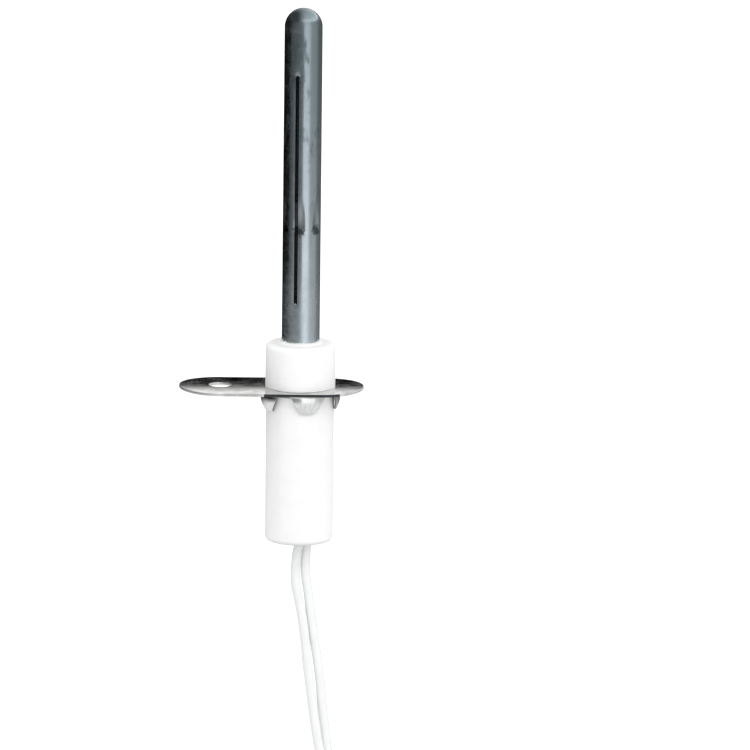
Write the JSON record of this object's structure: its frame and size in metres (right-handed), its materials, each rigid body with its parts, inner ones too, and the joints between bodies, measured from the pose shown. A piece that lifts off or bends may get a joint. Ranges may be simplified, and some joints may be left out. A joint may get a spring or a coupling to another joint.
{
  "type": "ignition electrode",
  "caption": "Gas burner ignition electrode: hot surface element in a slotted metal shield, ceramic body with a clip-on screw flange, and white insulated leads.",
  "frame": {"origin": "on the body's axis, level with the flange's upper face, where the burner bracket sits", "axes": "+Z along the axis to the shield's round tip, -X from the axis to the flange's screw hole, leads hanging towards -Z"},
  "size_m": [0.0386, 0.0172, 0.2283],
  "materials": {
    "shield_steel": "drawn stainless tube, blue-grey, with faint heat stains",
    "silicon_carbide": "dark grey, matte and finely porous",
    "spacer_ceramic": "matte brown-grey, darkened by heat",
    "nickel": "satin nickel plate",
    "steatite": "unglazed white, smooth and matte",
    "cement": "white refractory cement, slightly grainy",
    "plate_steel": "bright rolled sheet, faintly brushed",
    "spring_steel": "bright stamped sheet",
    "strands": "nickel-plated copper strands",
    "insulation": "smooth milky white fluoropolymer, slightly translucent",
    "tie_plastic": "white moulded nylon"
  },
  "bodies": {
    "root": {"shield_tube": "shield_steel", "heating_element": "silicon_carbide", "element_spacer": "spacer_ceramic", "terminal_left": "nickel", "terminal_right": "nickel", "ceramic_body": "steatite", "shield_cement": "cement", "core_cement": "cement", "lead_potting": "cement", "mounting_flange": "plate_steel", "retainer_ring": "spring_steel", "crimp_left": "nickel", "crimp_right": "nickel", "conductor_left": "strands", "conductor_right": "strands", "lead_left": "insulation", "lead_right": "insulation", "lead_left_hank": "insulation", "lead_right_hank": "insulation", "stripped_end_left": "strands", "stripped_end_right": "strands", "lead_tie": "tie_plastic"}
  },
  "joints": []
}
